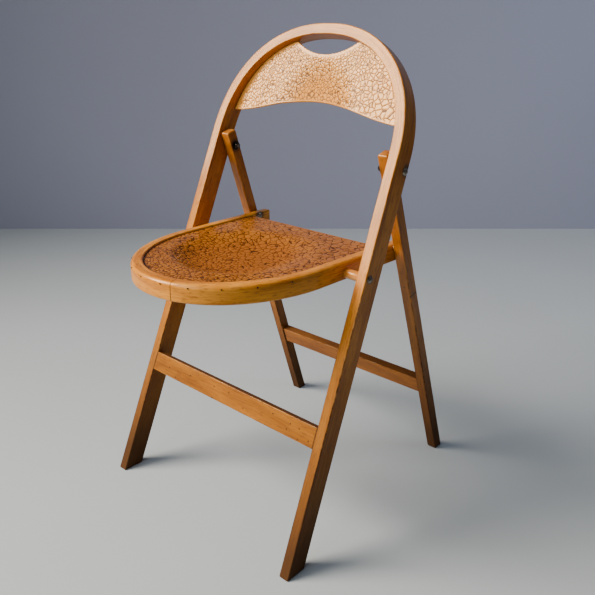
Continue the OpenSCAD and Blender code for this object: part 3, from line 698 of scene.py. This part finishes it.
def ring_outline(along, inset):
    """Half width and depth of the ring, inset from its outer face, along one half from an arm."""
    turn = np.radians(90 * np.clip((along - ARM_LENGTH) / RING_BEND, 0, 1))
    start = RING_CURVE - RING_FRONT
    back = ARM_BACK - np.minimum(along, ARM_LENGTH)
    straight = along <= ARM_LENGTH
    x = np.where(straight, RING_HALF + ARM_SPLAY * (back - start) - inset,
                 (RING_HALF - inset) * np.cos(turn).clip(0) ** (2 / RING_POWER))
    y = np.where(straight, back, start - (RING_CURVE - inset) * np.sin(turn) ** (2 / RING_POWER))
    return x, y


def from_seat(x, y, z):
    """The row frame's place of a point from the middle of the seat bolts."""
    return np.stack(np.broadcast_arrays(x, y + SEAT_BOLT[0] - CHAIR_MIDDLE, z + SEAT_BOLT[1]), -1)


def place_ring(along, inset, height):
    half = ARM_LENGTH + RING_BEND
    side = np.where(along < half, -1, 1)
    x, y = ring_outline(np.where(along < half, along, 2 * half - along), inset)
    return from_seat(side * x, y, RING_LOW + height)


ring_stations = np.concatenate([
    np.linspace(0, ARM_LENGTH, 36), np.linspace(ARM_LENGTH, ARM_LENGTH + RING_BEND, 90)[1:]])
ring_stations = np.concatenate([
    ring_stations, (2 * (ARM_LENGTH + RING_BEND) - ring_stations[::-1])[1:],
    SCARF + np.array([-1.5, -0.7, 0, 0.7, 1.5])])
ring_bar = swept_bar("ring_bar", np.sort(ring_stations),
                     eased_section(RING_WIDTH, RING_HEIGHT, (3.0, 2.5, 3.0, 7.5)), place_ring,
                     ends=(3.5, 3.5), seam=SCARF)
ring_bar.data.materials.append(lacquered_beech(
    "ring_lacquered_beech", "#d6902c", "#a3600f", worn="#e0aa58", foot_darkening=0, wear=0.2, seam=SCARF,
    dark_rings=((148, SEAT_BOLT[0] + PIN_BACK, SEAT_BOLT[1] + PIN_UP, 17),)))
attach(ring_bar, "seat")
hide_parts("seat_ring")

# ---- The seat panel ---------------------------------------------------------------------------
# The same embossed plywood, let into the ring 3 mm below its top. A round hollow is pressed in it,
# with a steep wall at the front and an easy one at the back, and its rear edge is straight.

BOARD_TOP = RING_LOW + RING_HEIGHT - 3.0
SEAT_EDGE, SEAT_INSET = 106.0, RING_WIDTH - LET_IN
SEAT_HOLLOW, SEAT_HOLLOW_R, SEAT_HOLLOW_Y = 15.0, 124.0, -58.0  # depth, radius, place from the bolts
SEAT_TIP = -(RING_FRONT - SEAT_INSET) + 0.7  # the first row, which needs some width
ARMS_FROM = RING_CURVE - RING_FRONT  # the ring is straight behind here


def seat_half_width(y, inset=SEAT_INSET):
    """Half the width inside the ring, inset from its outer face, y back from the seat bolts."""
    bent = np.clip((ARMS_FROM - y) / (RING_CURVE - inset), 0, 1)
    return np.where(y > ARMS_FROM, RING_HALF + ARM_SPLAY * (y - ARMS_FROM) - inset,
                    (RING_HALF - inset) * (1 - bent ** RING_POWER) ** (1 / RING_POWER))


def seat_gap(y, x):
    """Millimetres from a point of the board to the ring's inner face."""
    in_front = np.hypot(x / (RING_HALF - RING_WIDTH),
                        np.clip(ARMS_FROM - y, 0, None) / (RING_CURVE - RING_WIDTH))
    return np.where(y > ARMS_FROM, seat_half_width(y, RING_WIDTH) - np.abs(x),
                    (1 - in_front) * (RING_HALF - RING_WIDTH))


def seat_rise(y, x):
    """The hollow, with its steepest wall towards the front."""
    away = np.hypot(x, y - SEAT_HOLLOW_Y)
    front = np.clip((SEAT_HOLLOW_Y - y - 0.35 * x) / (away + 1), 0, 1)
    return -hollow(away, SEAT_HOLLOW_R, SEAT_HOLLOW, 2.3 + 2.6 * front)


def seat_pattern(y, x):
    """Cells 9 mm across in the hollow, smaller towards the front and larger towards the back."""
    pull, scale = -0.35, 170.0
    return crackle_cells(
        x, y - SEAT_HOLLOW_Y, 8.6,
        lambda z: scale * np.exp(-1j * pull * z / scale) / (-1j * pull),
        lambda z: np.exp(-1j * pull * z / scale))


seat_board = pressed_board(
    "seat_board", np.linspace(SEAT_TIP, SEAT_EDGE, 309), lambda y: -seat_half_width(y),
    seat_half_width, 276, lambda y, x, out: from_seat(x, y, BOARD_TOP + out), seat_rise,
    seat_pattern, lambda y, x: np.ones_like(x), lambda y, x: SEAT_EDGE - y, seat_gap)
run_tree(seat_board, press_tree, {
    "Groove depth": 0.5 * MM, "Groove reach": 1.6,
    "Finish": embossed_ply(
        "seat_embossed_ply", "#a8691f", "#844c10", "#351a09", 1.9, "#8a5018", SEAT_HOLLOW)})
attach(seat_board, "seat")
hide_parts("seat_panel")

# ---- The seat spacers -------------------------------------------------------------------------
# Turned beech sleeves on the seat bolts. They hold the ring clear of the hoop, so that the rear
# legs fold between them.

BORE, SPACER_R, SPACER_PLAY = 3.05, 7.9, (0.2, 0.3)  # its play at the ring and at the hoop
SEAT_BOLT_S, UPPER_BOLT_S = 482.3, 654.5  # how far up the hoop's front the two bolts go through


def turned(name, profile, centre, side, sides=32, hexagon=None):
    """A turned piece on a bolt's line. profile is a closed loop of (x, radius), x outwards from
    the chair's middle; with hexagon, six flats that far from the middle cut the outside."""
    profile = np.array(profile, float)
    angle = np.arange(sides) * 2 * math.pi / sides
    x = np.repeat(profile[:, :1], sides, 1)
    radius = np.repeat(profile[:, 1:], sides, 1)
    if hexagon:
        flat = hexagon / np.cos((angle + math.pi / 6) % (math.pi / 3) - math.pi / 6)
        radius = np.minimum(radius, flat)
    y, z = centre[0] - CHAIR_MIDDLE + radius * np.cos(angle), centre[1] + radius * np.sin(angle)
    points = np.stack([side * x, y, z], -1)
    rows = [[r * sides + i for i in range(sides)] for r in range(len(profile))]
    faces = [[rows[r][i], rows[r][(i + 1) % sides], rows[(r + 1) % len(rows)][(i + 1) % sides],
              rows[(r + 1) % len(rows)][i]] for r in range(len(rows)) for i in range(sides)]
    on_axis = [r for r in range(len(profile)) if profile[r][1] == 0]
    if on_axis:  # a solid piece: its loop starts and ends on the axis, where each end is one point
        faces = faces[:-sides]
    piece = make_mesh(name, points.reshape(-1, 3), faces,
                      grain=np.stack([x, radius * np.cos(angle), radius * np.sin(angle)],
                                     -1).reshape(-1, 3),
                      edge=np.zeros(x.size))
    if on_axis:
        solid = bmesh.new()
        solid.from_mesh(piece.data)
        bmesh.ops.remove_doubles(solid, verts=solid.verts, dist=1e-7)
        bmesh.ops.dissolve_degenerate(solid, edges=solid.edges, dist=1e-7)
        bmesh.ops.recalc_face_normals(solid, faces=solid.faces)
        solid.to_mesh(piece.data)
        solid.free()
        piece.data.set_sharp_from_angle(angle=math.radians(38))
    return piece


ARM_OUTER = RING_HALF + ARM_SPLAY * (RING_FRONT - RING_CURVE)
hoop_at_seat = hoop_half_width(SEAT_BOLT_S)
spacer_beech = lacquered_beech("spacer_lacquered_beech", "#d79850", "#b4742f", foot_darkening=0, gloss=0.24)
for side, word in SIDES:
    inner = ARM_OUTER + SPACER_PLAY[0]
    outer = hoop_at_seat - HOOP_WIDTH / 2 - SPACER_PLAY[1]
    spacer = turned("spacer_" + word, [
        (inner, BORE), (inner, SPACER_R - 1), (inner + 0.3, SPACER_R - 0.3), (inner + 1, SPACER_R),
        (outer - 1, SPACER_R), (outer - 0.3, SPACER_R - 0.3), (outer, SPACER_R - 1), (outer, BORE)],
        SEAT_BOLT, side, sides=48)
    spacer.data.materials.append(spacer_beech)
    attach(spacer, "hoop_frame")
    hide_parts("seat_spacer_" + word)

# ---- The bolts, nuts, washers and guide pins --------------------------------------------------
# Domed 6 mm steel bolts through the hoop, with washers and hexagon nuts inside, and a domed pin in
# each seat arm. The steel is old: dull, brown in the hollows and rubbed bright on the domes.

HEAD_R, HEAD_H, SHANK_R = 6.5, 3.4, 3.0
NUT_FLAT, NUT_R, NUT_H, WASHER = 4.98, 5.75, 5.0, 1.5
FACE_GAP, WASHER_GAP = 0.4, 0.6  # play under a head and beside a washer
PIN_SHORT = 1.0  # from the guide pin's end to the groove's floor


# Turned mild steel that was never plated: a grey metal with brown rust in patches 2 mm across,
# where it is rough, and smooth and brighter between them.
def aged_steel(name, bright, brown, rust):
    material, tree = new_material(name)
    place = add(tree, "ShaderNodeTexCoord").outputs["Object"]
    patches = add(tree, "ShaderNodeTexNoise", {"Vector": place, "Scale": 420, "Detail": 3}).outputs[0]
    spots = add(tree, "ShaderNodeMapRange", {
        "Value": patches, "From Min": 0.45, "From Max": 0.65, "To Max": rust}).outputs[0]
    colour = add(tree, "ShaderNodeMix", {0: spots, 6: sRGB(bright), 7: sRGB(brown)},
                 data_type="RGBA").outputs[2]
    rough = add(tree, "ShaderNodeMapRange", {
        "Value": patches, "To Min": 0.12, "To Max": 0.5}).outputs[0]
    relief = add(tree, "ShaderNodeBump", {"Height": patches, "Strength": 0.3, "Distance": 0.0002})
    shader = add(tree, "ShaderNodeBsdfPrincipled", {
        "Base Color": colour, "Roughness": rough, "Normal": relief.outputs[0], "Metallic": 1.0})
    add(tree, "ShaderNodeOutputMaterial", {"Surface": shader.outputs[0]})
    return material


def domed(face, end):
    """The loop of a domed bolt: its head outside face, its shank in to end."""
    ball = (HEAD_R ** 2 + HEAD_H ** 2) / (2 * HEAD_H)
    dome = [HEAD_R * (1 - i / 8) for i in range(9)]
    return ([(end, 0), (end, SHANK_R - 0.7), (end + 0.7, SHANK_R), (face, SHANK_R),
             (face, HEAD_R - 0.3)]
            + [(face + HEAD_H - ball + math.sqrt(ball ** 2 - r ** 2), r) for r in dome])


hoop_at_upper = hoop_half_width(UPPER_BOLT_S)
steel = aged_steel("aged_bolt_steel", "#8d857a", "#33261c", 0.85)
dark_steel = aged_steel("aged_nut_steel", "#4c453e", "#1f1712", 0.85)
for side, word in SIDES:
    for kind, centre, face, held in (
            ("seat", SEAT_BOLT, hoop_at_seat + HOOP_WIDTH / 2 + FACE_GAP, ARM_OUTER - RING_WIDTH),
            ("leg", UPPER_BOLT, hoop_at_upper + HOOP_WIDTH / 2 + FACE_GAP,
             REAR_HALF - REAR_WIDTH / 2)):
        nut_at = held - WASHER_GAP - WASHER
        bolt = turned(f"{kind}_bolt_turned_{word}", domed(face, nut_at - NUT_H - 1), centre, side)
        bolt.data.materials.append(steel)
        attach(bolt, "hoop_frame")
        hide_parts(f"{kind}_bolt_{word}")
        nut = turned(f"{kind}_nut_cut_{word}", [
            (nut_at, SHANK_R), (nut_at, NUT_FLAT), (nut_at - 0.5, NUT_R), (nut_at - NUT_H + 0.8, NUT_R),
            (nut_at - NUT_H, NUT_FLAT), (nut_at - NUT_H, SHANK_R)],
            centre, side, sides=48, hexagon=NUT_FLAT)
        nut.data.materials.append(dark_steel)
        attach(nut, "hoop_frame")
        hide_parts(f"{kind}_nut_{word}")
    pin_face = RING_HALF + ARM_SPLAY * (PIN_BACK + RING_FRONT - RING_CURVE) - RING_WIDTH - FACE_GAP
    # the pin's head is on the arm's inner face, so its loop runs the other way
    pin_end = 2 * pin_face - (GROOVE_FLOOR - PIN_SHORT)
    pin_loop = [(2 * pin_face - x, r) for x, r in domed(pin_face, pin_end)]
    pin = turned("guide_pin_turned_" + word, pin_loop,
                 (SEAT_BOLT[0] + PIN_BACK, SEAT_BOLT[1] + PIN_UP), side)
    pin.data.materials.append(steel)
    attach(pin, "seat")
    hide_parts("guide_pin_" + word)
    for washer in ("seat_washer_", "leg_washer_", "nut_washer_"):
        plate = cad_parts[washer + word]
        plate.data.materials.clear()
        plate.data.materials.append(dark_steel)

# ---- The seat nails ---------------------------------------------------------------------------
# Ten fine steel nails driven through the ring into the panel's edge, square to the ring's curve.
# Their round heads have gone dark.

NAIL_R, NAIL_HEAD_R, NAIL_LENGTH = 0.8, 1.3, 21.0
NAIL_PROUD = 0.35  # how far a nail stands out of the ring
nail_tree, given = new_tree("nails_round_the_ring", {
    "Places": "Geometry", "Shank radius": "Float", "Head radius": "Float", "Length": "Float",
    "Finish": "Material"}, "Nails")
shank = add(nail_tree, "GeometryNodeMeshCylinder", {
    "Vertices": 12, "Radius": given["Shank radius"], "Depth": given["Length"]})
head = add(nail_tree, "GeometryNodeMeshCone", {
    "Vertices": 12, "Radius Top": given["Head radius"], "Radius Bottom": given["Shank radius"],
    "Depth": 0.9 * MM})
half_length = add(nail_tree, "ShaderNodeMath", {0: given["Length"], 1: -0.5}, operation="MULTIPLY")
back_by = add(nail_tree, "ShaderNodeCombineXYZ", {"Z": half_length.outputs[0]})
shank = add(nail_tree, "GeometryNodeTransform", {
    "Geometry": shank.outputs[0], "Translation": back_by.outputs[0]})
head = add(nail_tree, "GeometryNodeTransform", {
    "Geometry": head.outputs[0], "Translation": (0, 0, -0.7 * MM)})
nail = add(nail_tree, "GeometryNodeJoinGeometry")
nail_tree.links.new(shank.outputs[0], nail.inputs[0])
nail_tree.links.new(head.outputs[0], nail.inputs[0])
outward = add(nail_tree, "GeometryNodeInputNamedAttribute", {"Name": "outward"},
              data_type="FLOAT_VECTOR")
turn = add(nail_tree, "FunctionNodeAlignRotationToVector", {"Vector": outward.outputs[0]}, axis="Z")
driven = add(nail_tree, "GeometryNodeInstanceOnPoints", {
    "Points": given["Places"], "Instance": nail.outputs[0], "Rotation": turn.outputs[0]})
real = add(nail_tree, "GeometryNodeRealizeInstances", {"Geometry": driven.outputs[0]})
finished = add(nail_tree, "GeometryNodeSetMaterial", {
    "Geometry": real.outputs[0], "Material": given["Finish"]})
add(nail_tree, "NodeGroupOutput", {"Nails": finished.outputs[0]})

nail_turn = np.radians(np.arange(-72, 73, 16))  # ten nails, round the front of the bend
nail_x = RING_HALF * np.sin(nail_turn)
nail_y = RING_CURVE * (1 - (1 - np.abs(np.sin(nail_turn)) ** RING_POWER) ** (1 / RING_POWER)) - RING_FRONT
square = np.arctan(RING_CURVE / RING_HALF * np.tan(nail_turn))
nail_way = np.stack([np.sin(square), -np.cos(square), 0 * square], -1)
nail_places = from_seat(nail_x, nail_y, BOARD_TOP - PLY / 2) + NAIL_PROUD * nail_way
nails = make_mesh("nails", nail_places, [], outward=nail_way)
run_tree(nails, nail_tree, {"Shank radius": NAIL_R * MM, "Head radius": NAIL_HEAD_R * MM,
                            "Length": NAIL_LENGTH * MM, "Finish": dark_steel})
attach(nails, "seat")
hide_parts("seat_nails")

# ---- Floor, wall, light and camera ------------------------------------------------------------
# A plain pale grey floor and a plain slate wall well behind the chair. A big soft warm light from
# the front's left stands for a window. Weak ones light the wall, the front and all round.

CAMERA_PLACE, CAMERA_TURN, LENS = (0.7962, -0.8234, 0.7953), (68.71, 0, 42.40), 41.87
FLOOR_HALF, WALL_AWAY, WALL_HALF, WALL_HEIGHT = 6000, 1700, 3200, 2600


# Matt paint, rolled on, so that it is very slightly cloudy.
def plain(name, colour, rough):
    material, tree = new_material(name)
    place = add(tree, "ShaderNodeTexCoord").outputs["Object"]
    cloud = add(tree, "ShaderNodeTexNoise", {"Vector": place, "Scale": 1.3, "Detail": 3}).outputs[0]
    tone = add(tree, "ShaderNodeMapRange", {"Value": cloud, "To Min": 0.94, "To Max": 1.06}).outputs[0]
    shade = add(tree, "ShaderNodeHueSaturation", {"Color": sRGB(colour), "Value": tone}).outputs[0]
    shader = add(tree, "ShaderNodeBsdfPrincipled", {"Base Color": shade, "Roughness": rough})
    add(tree, "ShaderNodeOutputMaterial", {"Surface": shader.outputs[0]})
    return material


view_turn = math.radians(CAMERA_TURN[2])
ahead = np.array([-math.sin(view_turn), math.cos(view_turn), 0])
aside = np.array([math.cos(view_turn), math.sin(view_turn), 0])
floor = make_mesh("floor", [(FLOOR_HALF * x, FLOOR_HALF * y, 0)
                            for x, y in ((-1, -1), (1, -1), (1, 1), (-1, 1))], [[0, 1, 2, 3]])
wall_up = np.array([0, 0, WALL_HEIGHT])
wall = make_mesh("wall", [ahead * WALL_AWAY + aside * WALL_HALF * x + wall_up * z
                          for x, z in ((-1, 0), (1, 0), (1, 1), (-1, 1))], [[0, 1, 2, 3]])
floor.data.materials.append(plain("floor_paint", "#a4b1bd", 0.6))
wall.data.materials.append(plain("wall_paint", "#878da3", 0.9))

world = bpy.data.worlds.new("room")
world.use_nodes = True
all_round = world.node_tree.nodes["Background"].inputs
all_round["Color"].default_value = sRGB("#cfd0d0")
all_round["Strength"].default_value = 0.17
bpy.context.scene.world = world
for name, place, aim, size, spread, power, colour in (
        ("window", (-1.8, -2.08, 2.35), (0.6, 0.0, 0.2), 1.8, 84, 82, "#ffecd4"),
        ("wall_wash", (1.5, 1.0, 1.7), (-0.3, 2.1, 0.7), 1.0, 120, 9, "#eef2ff"),
        ("room_fill", (-0.1, -2.8, 1.9), (0, 0, 0.4), 2.0, 95, 15, "#f4f4f2")):
    lamp = bpy.data.lights.new(name, "AREA")
    lamp.size, lamp.spread = size, math.radians(spread)
    lamp.energy, lamp.color = power, sRGB(colour)[:3]
    holder = bpy.data.objects.new(name, lamp)
    bpy.context.scene.collection.objects.link(holder)
    holder.location = place
    holder.rotation_euler = (Vector(aim) - Vector(place)).to_track_quat("-Z", "Y").to_euler()

camera = bpy.data.objects.new("camera", bpy.data.cameras.new("camera"))
camera.data.lens, camera.data.sensor_width = LENS, 36
camera.location = CAMERA_PLACE
camera.rotation_euler = [math.radians(a) for a in CAMERA_TURN]
bpy.context.scene.collection.objects.link(camera)
bpy.context.scene.camera = camera
